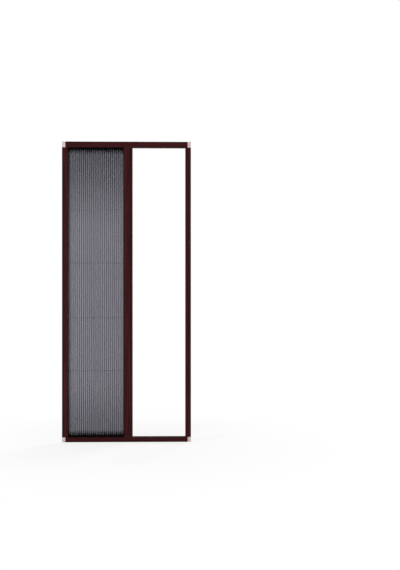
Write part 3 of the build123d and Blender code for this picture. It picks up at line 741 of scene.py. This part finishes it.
@dataclass
class PleatedScreen:
    """The pleated sheet: 58 panels between the left jamb's strip and the bar's."""

    left: float = -0.4094
    right: float = -0.0196
    low: float = 0.022
    high: float = 2.072
    thickness: float = 0.00021
    row: float = 0.075
    slot: float = 0.0014
    wander: float = 0.00035
    edge_width: float = 0.0004

    @property
    def step(self) -> float:
        """How far apart neighbouring folds are across the door."""
        return (self.right - self.left) / PANELS

    @property
    def depth(self) -> float:
        """How far each fold stands from the middle of the sheet."""
        return math.sqrt(PANEL_WIDTH**2 - self.step**2) / 2

    def fold(self, number: int) -> Vector:
        """The foot of one fold.

        Args:
            number: The fold's number, from 0 at the left jamb.

        Returns:
            Its place. Even folds are at the back.
        """
        side = 1 if number % 2 == 0 else -1
        return Vector((self.left + number * self.step, side * self.depth, self.low))

    def drift(self, number: int, height: float) -> Vector:
        """How far a fold strays from its even place at one height.

        Args:
            number: The fold's number.
            height: The height.

        Returns:
            The stray, which is in X alone. The first and last folds don't stray.
        """
        if number in (0, PANELS):
            return Vector((0.0, 0.0, 0.0))
        # The numbers below only pick places in the noise that differ from fold to fold.
        lean = noise.noise(Vector((number * 3.7, 0.3, 0.6 * height)))
        wave = noise.noise(Vector((number * 1.9, 8.1, 2.3 * height)))
        return Vector((self.wander * (1.6 * lean + 0.8 * wave), 0.0, 0.0))

    def sheet(self, first: int, last: int) -> bmesh.types.BMesh:
        """The panels between two folds, with the punched slots for the cords.

        Args:
            first: The fold that they start at.
            last: The fold that they end at.

        Returns:
            Their mesh, mapped in metres of flat cloth.
        """
        mesh = bmesh.new()
        feet = [mesh.verts.new(self.fold(number)) for number in range(first, last + 1)]
        edges = [mesh.edges.new(pair) for pair in zip(feet, feet[1:])]
        grown = bmesh.ops.extrude_edge_only(mesh, edges=edges)["geom"]
        top = [part for part in grown if isinstance(part, bmesh.types.BMVert)]
        bmesh.ops.translate(mesh, verts=top, vec=(0.0, 0.0, self.high - self.low))
        half = self.slot / 2
        rows = [self.low + self.row * count for count in range(1, int((self.high - self.low) / self.row))]
        rows = [each for each in rows if all(abs(each - height) > 2 * self.slot for height in CORD_HEIGHTS)]
        cuts = [((0.0, side * half, 0.0), (0.0, 1.0, 0.0)) for side in (-1, 1)]
        slot_ends = [cord + side for cord in CORD_HEIGHTS for side in (-half, half)]
        cuts += [((0.0, 0.0, each), (0.0, 0.0, 1.0)) for each in (*slot_ends, *rows)]
        for place, normal in cuts:
            geometry = [*mesh.verts, *mesh.edges, *mesh.faces]
            bmesh.ops.bisect_plane(mesh, geom=geometry, dist=1e-7, plane_co=place, plane_no=normal)
        punched = [face for face in mesh.faces if self.is_punched(face.calc_center_median())]
        bmesh.ops.delete(mesh, geom=punched, context="FACES")
        self.map_cloth(mesh)
        for vert in mesh.verts:
            vert.co += self.stray(vert.co)
        bmesh.ops.recalc_face_normals(mesh, faces=mesh.faces)
        bmesh.ops.solidify(mesh, geom=[*mesh.verts, *mesh.edges, *mesh.faces], thickness=self.thickness)
        return mesh

    def is_punched(self, middle: Vector) -> bool:
        """Says whether a face lies in a cord's slot.

        Args:
            middle: The face's middle.

        Returns:
            True where the cord goes through.
        """
        half = self.slot / 2
        return abs(middle.y) < half and any(abs(middle.z - height) < half for height in CORD_HEIGHTS)

    def along(self, place: Vector) -> float:
        """The fold number at a place on the even sheet, with its share of the panel.

        Args:
            place: A place on the sheet.

        Returns:
            The number, 2.5 in the middle of the third panel.
        """
        return (place.x - self.left) / self.step

    def stray(self, place: Vector) -> Vector:
        """How far a place strays from the even sheet.

        Args:
            place: A place on the even sheet.

        Returns:
            The stray, shared between the two nearest folds.
        """
        number = self.along(place)
        before = min(int(number + 1e-6), PANELS - 1)
        share = number - before
        return self.drift(before, place.z).lerp(self.drift(before + 1, place.z), share)

    def map_cloth(self, mesh: bmesh.types.BMesh) -> None:
        """Maps the sheet in metres of flat cloth.

        Args:
            mesh: The even sheet.
        """
        layer = mesh.loops.layers.uv.new("cloth")
        for face in mesh.faces:
            for loop in face.loops:
                loop[layer].uv = (self.along(loop.vert.co) * PANEL_WIDTH, loop.vert.co.z)

    def bend(self, piece: bpy.types.Object) -> None:
        """Bakes the panels' placement into their mesh.

        Args:
            piece: The panels.
        """
        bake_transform(piece)

    def runs(self) -> Iterable[tuple[int, int]]:
        """The panels that go together in one piece: one by one at the ends, and by whole pleats between.

        Returns:
            The first and last fold of each piece.
        """
        yield from ((0, 1), (1, 2))
        yield from ((number, number + 2) for number in range(2, PANELS - 2, 2))
        yield from ((PANELS - 2, PANELS - 1), (PANELS - 1, PANELS))

    def edge(self, name: str, x: float, body: str) -> bpy.types.Object:
        """The flat edge of the sheet that is glued to a strip.

        Args:
            name: The piece's name.
            x: Where the edge's face meets the first or last panel.
            body: The body that it is glued to.

        Returns:
            The edge.
        """
        mesh = bmesh.new()
        outward = -1 if body == FRAME_BODY else 1
        sides = sorted((x, x + outward * self.edge_width / 2))
        add_box(mesh, (sides[0], -self.depth, self.low), (sides[1], self.depth, self.high))
        layer = mesh.loops.layers.uv.new("cloth")
        for face in mesh.faces:
            for loop in face.loops:
                loop[layer].uv = (loop.vert.co.y, loop.vert.co.z)
        piece = finished(mesh, name)
        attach(piece, body)
        return piece

    def build(self, weave: bpy.types.Material) -> None:
        """Builds the whole sheet.

        Args:
            weave: The sheet's finish.
        """
        pieces = []
        for first, last in self.runs():
            piece = finished(self.sheet(first, last), f"pleats_{first:02d}_{last:02d}")
            self.bend(piece)
            pieces.append(piece)
        for name, x, body in (("edge_left", self.left, FRAME_BODY), ("edge_right", self.right, BAR_BODY)):
            piece = self.edge(f"pleat_{name}", x, body)
            pieces.append(piece)
        for piece in pieces:
            dress(piece, weave)
            LOG.info("built %s", piece.name)
        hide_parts("pleated_mesh")


@dataclass
class CordRun:
    """A taut stretch of cord, laid up from three strands."""

    name: str
    start: Vector
    end: Vector
    bodies: tuple[str, str]
    radius: float = 0.0005
    strands: int = 3
    strand_sides: int = 5
    strand_share: float = 0.54
    lay: float = 0.0048
    rings_per_lay: int = 6

    def build(self, yarn: bpy.types.Material) -> None:
        """Builds the stretch as a twisted strand in place of the plain one.

        Args:
            yarn: The cord's finish.
        """
        mesh = bmesh.new()
        strand = self.radius * self.strand_share
        for turn in range(self.strands):
            angle = 2 * math.pi * turn / self.strands
            middle = Vector((0.0, math.cos(angle), math.sin(angle))) * (self.radius - strand)
            across = Matrix.Translation(self.start + middle) @ Matrix.Rotation(math.pi / 2, 4, "Y")
            bmesh.ops.create_circle(
                mesh, cap_ends=False, segments=self.strand_sides, radius=strand, matrix=across
            )
        length = (self.end - self.start).length
        steps = max(1, round(length / self.lay * self.rings_per_lay))
        bmesh.ops.spin(
            mesh,
            geom=[*mesh.verts, *mesh.edges],
            cent=self.start,
            axis=(1.0, 0.0, 0.0),
            dvec=(self.end - self.start) / steps,
            angle=2 * math.pi * length / self.lay,
            steps=steps,
        )
        rims = [edge for edge in mesh.edges if edge.is_boundary]
        bmesh.ops.holes_fill(mesh, edges=rims, sides=0)
        bmesh.ops.recalc_face_normals(mesh, faces=mesh.faces)
        piece = finished(mesh, f"{self.name}_strand")
        piece.data.shade_smooth()
        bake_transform(piece)
        dress(piece, yarn)
        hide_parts(self.name)
        LOG.info("built %s", piece.name)


@dataclass
class CordCircuit:
    """The level runs of the four cords: through the pleats and along the rails."""

    anchor: float = -0.4187
    bar_left: float = -0.0190
    cap_right: float = 0.0210
    tail: float = 0.4122
    lane: float = 0.003
    in_rail: float = 0.009
    door_height: float = 2.1

    def runs(self) -> Iterable[CordRun]:
        """The eight level runs.

        Returns:
            Each cord's run through the pleats, then its run along a rail.
        """
        for number, height in enumerate(CORD_HEIGHTS):
            lane = self.lane if number % 2 else -self.lane
            level = self.in_rail if number < len(CORD_HEIGHTS) / 2 else self.door_height - self.in_rail
            yield CordRun(
                f"cord_{number + 1}_in_mesh",
                Vector((self.anchor, 0.0, height)),
                Vector((self.bar_left, 0.0, height)),
                (FRAME_BODY, BAR_BODY),
            )
            yield CordRun(
                f"cord_{number + 1}_in_rail",
                Vector((self.cap_right, lane, level)),
                Vector((self.tail, lane, level)),
                (BAR_BODY, FRAME_BODY),
            )

    def build(self, yarn: bpy.types.Material) -> None:
        """Builds the level runs.

        Args:
            yarn: The cords' finish.
        """
        for run in self.runs():
            run.build(yarn)


@dataclass
class BrushSeal:
    """One strip of pile: a woven backing held in the rail's slot, and tufts that point at the pleats."""

    rail: Rail
    face: Face
    backing: float = 0.0010
    pile_half: float = 0.0014
    bundle: int = 16
    bundles: int = 33
    rows: int = 3
    tuft_foot: float = 0.0009
    tuft_tip: float = 0.0003
    tuft_sides: int = 5
    core_share: float = 0.7
    core_thickness_share: float = 0.7

    def build(self, pile: bpy.types.Material) -> None:
        """Builds the strip in place of the plain one.

        Args:
            pile: The strip's finish.
        """
        node = f"brush_seal_{self.rail.value}_{self.face.name.lower()}"
        low, high = (Vector(corner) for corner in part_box(node))
        inward = -self.face.value
        back, tip = (high.y, low.y) if self.face is Face.BACK else (low.y, high.y)
        front = back + inward * self.backing
        reach = abs(tip - front)
        middle = (low.z + high.z) / 2
        pitch = (high.x - low.x) / (self.bundle * self.bundles)
        rise_step = 2 * (self.pile_half - self.tuft_foot / 2) / (self.rows - 1)
        mesh = bmesh.new()
        rng = random.Random(node)
        for count in range(self.bundle):
            for line in range(self.rows):
                x = low.x + (count + 0.25 + 0.25 * (line % 2) + 0.15 * rng.random()) * pitch
                rise = (line - (self.rows - 1) / 2) * rise_step
                self.tuft(mesh, rng, Vector((x, front, middle + rise)), inward, reach)
        bmesh.ops.spin(
            mesh,
            geom=[*mesh.verts, *mesh.edges, *mesh.faces],
            cent=(0.0, 0.0, 0.0),
            axis=(0.0, 0.0, 1.0),
            dvec=(self.bundle * pitch, 0.0, 0.0),
            angle=0.0,
            steps=self.bundles - 1,
            use_duplicate=True,
        )
        add_box(mesh, (low.x, min(back, front), low.z), (high.x, max(back, front), high.z))
        core = front + inward * self.core_share * reach
        inner = self.core_thickness_share * self.pile_half
        add_box(mesh, (low.x, min(front, core), middle - inner), (high.x, max(front, core), middle + inner))
        piece = finished(mesh, f"{node}_tufts")
        dress(piece, pile)
        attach(piece, FRAME_BODY)
        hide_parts(node)
        LOG.info("built %s", piece.name)

    def tuft(
        self, mesh: bmesh.types.BMesh, rng: random.Random, foot: Vector, inward: int, reach: float
    ) -> None:
        """Adds one tuft, a little askew and a little shorter than its neighbours.

        Args:
            mesh: The strip's mesh.
            rng: The strip's own source of chance.
            foot: Where the tuft grows from the backing.
            inward: The sign in Y of the way to the pleats.
            reach: How far the longest tuft reaches.
        """
        length = reach * rng.uniform(0.9, 1.0)
        lean = Vector((rng.uniform(-0.10, 0.10), inward, rng.uniform(-0.04, 0.04)))
        turn = lean.to_track_quat("Z", "X").to_matrix().to_4x4()
        place = Matrix.Translation(foot) @ turn @ Matrix.Translation((0.0, 0.0, length / 2))
        bmesh.ops.create_cone(
            mesh,
            cap_ends=True,
            segments=self.tuft_sides,
            radius1=self.tuft_foot / 2,
            radius2=self.tuft_tip / 2,
            depth=length,
            matrix=place,
        )


@dataclass(frozen=True)
class Lamp:
    """One soft square lamp."""

    name: str
    place: tuple[float, float, float]
    watts: float
    side: float = 2.4


@dataclass
class Studio:
    """A pale floor, a white surround, soft lamps and the camera."""

    eye: Vector = field(default_factory=lambda: Vector((0.407, -5.562, 1.098)))
    yaw: float = math.radians(-1.1)
    lens: float = 50.0
    floor_reach: float = 9.0
    floor_cells: int = 8
    floor_shadow: Band = Band(0.5, 1.6, 0.75, 1.0)
    ambient: float = 0.55
    lit_height: float = 1.05
    lamps: tuple[Lamp, ...] = (
        Lamp("key_lamp", (-5.0, -3.9, 1.6), 280.0),
        Lamp("fill_lamp", (3.0, -5.6, 1.4), 40.0),
        Lamp("back_lamp", (3.4, 5.0, 2.0), 230.0),
    )

    def floor(self) -> None:
        """Lays the floor, which keeps the door's shadow near it and fades to white further off."""
        mesh = bmesh.new()
        bmesh.ops.create_grid(
            mesh, x_segments=self.floor_cells, y_segments=self.floor_cells, size=self.floor_reach
        )
        plane = finished(mesh, "studio_floor")
        recipe = Recipe("studio_floor")
        place = recipe.coordinates("Object")
        distance = recipe.tree.nodes.new("ShaderNodeVectorMath")
        distance.operation = "LENGTH"
        recipe.feed(distance.inputs[0], place)
        seen = recipe.tree.nodes.new("ShaderNodeLightPath").outputs["Is Camera Ray"]
        speckle = recipe.noise(place, 40.0, 4.0)
        pale = recipe.mix(recipe.between(speckle, 0.3, 0.7), (0.80, 0.80, 0.80), (0.83, 0.83, 0.83))
        white = recipe.math("MULTIPLY", seen, recipe.fade(distance.outputs["Value"], self.floor_shadow))
        pale = recipe.mix(seen, pale, (1.0, 1.0, 1.0))
        recipe.surface(
            Base_Color=recipe.mix(white, pale, (0.0, 0.0, 0.0)),
            Roughness=0.9,
            Specular_IOR_Level=0.0,
            Emission_Color=(1.0, 1.0, 1.0),
            Emission_Strength=white,
        )
        recipe.material.cycles.emission_sampling = "NONE"
        dress(plane, recipe.material)

    def surround(self) -> None:
        """Makes the world white to the eye and in reflections, and a plain soft light for everything else."""
        world = bpy.data.worlds.new("studio")
        bpy.context.scene.world = world
        world.use_nodes = True
        tree = world.node_tree
        path = tree.nodes.new("ShaderNodeLightPath")
        shown = tree.nodes.new("ShaderNodeMath")
        shown.operation = "MAXIMUM"
        tree.links.new(path.outputs["Is Camera Ray"], shown.inputs[0])
        either = tree.nodes.new("ShaderNodeMath")
        either.operation = "MAXIMUM"
        tree.links.new(path.outputs["Is Glossy Ray"], either.inputs[0])
        tree.links.new(path.outputs["Is Transmission Ray"], either.inputs[1])
        tree.links.new(either.outputs["Value"], shown.inputs[1])
        level = tree.nodes.new("ShaderNodeMapRange")
        tree.links.new(shown.outputs["Value"], level.inputs["Value"])
        level.inputs["To Min"].default_value = self.ambient
        level.inputs["To Max"].default_value = 1.0
        background = tree.nodes["Background"]
        background.inputs["Color"].default_value = (1.0, 1.0, 1.0, 1.0)
        tree.links.new(level.outputs["Result"], background.inputs["Strength"])

    def hang(self, lamp: Lamp) -> None:
        """Hangs one lamp so that it faces the door's middle.

        Args:
            lamp: The lamp.
        """
        light = bpy.data.lights.new(lamp.name, "AREA")
        light.shape = "SQUARE"
        light.size = lamp.side
        light.energy = lamp.watts
        holder = bpy.data.objects.new(lamp.name, light)
        bpy.context.scene.collection.objects.link(holder)
        towards = Vector((0.0, 0.0, self.lit_height)) - Vector(lamp.place)
        turn = towards.to_track_quat("-Z", "Y").to_matrix().to_4x4()
        holder.matrix_world = Matrix.Translation(lamp.place) @ turn

    def camera(self) -> None:
        """Sets the camera level with the door's middle, as far off as the photographed perspective says."""
        data = bpy.data.cameras.new("studio_camera")
        data.lens = self.lens
        data.sensor_width = 36.0
        data.sensor_fit = "AUTO"
        data.clip_end = 100.0
        camera = bpy.data.objects.new("studio_camera", data)
        bpy.context.scene.collection.objects.link(camera)
        turn = Matrix.Rotation(self.yaw, 4, "Z") @ Matrix.Rotation(math.pi / 2, 4, "X")
        camera.matrix_world = Matrix.Translation(self.eye) @ turn
        bpy.context.scene.camera = camera

    def build(self) -> None:
        """Builds the studio."""
        self.floor()
        self.surround()
        for lamp in self.lamps:
            self.hang(lamp)
        self.camera()
        bpy.context.scene.view_settings.view_transform = "Standard"


def main() -> None:
    """Builds the door and the studio, in order."""
    logging.basicConfig(level=logging.INFO, format="%(message)s")
    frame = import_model()
    finishes = Finishes()
    finishes.dress_nodes(frame)
    PleatedScreen().build(finishes.by_slot["screen_mesh"])
    CordCircuit().build(finishes.by_slot["screen_cord"])
    for rail in Rail:
        for face in Face:
            BrushSeal(rail, face).build(finishes.by_slot["brush_pile"])
    Studio().build()


if __name__ == "__main__":
    main()
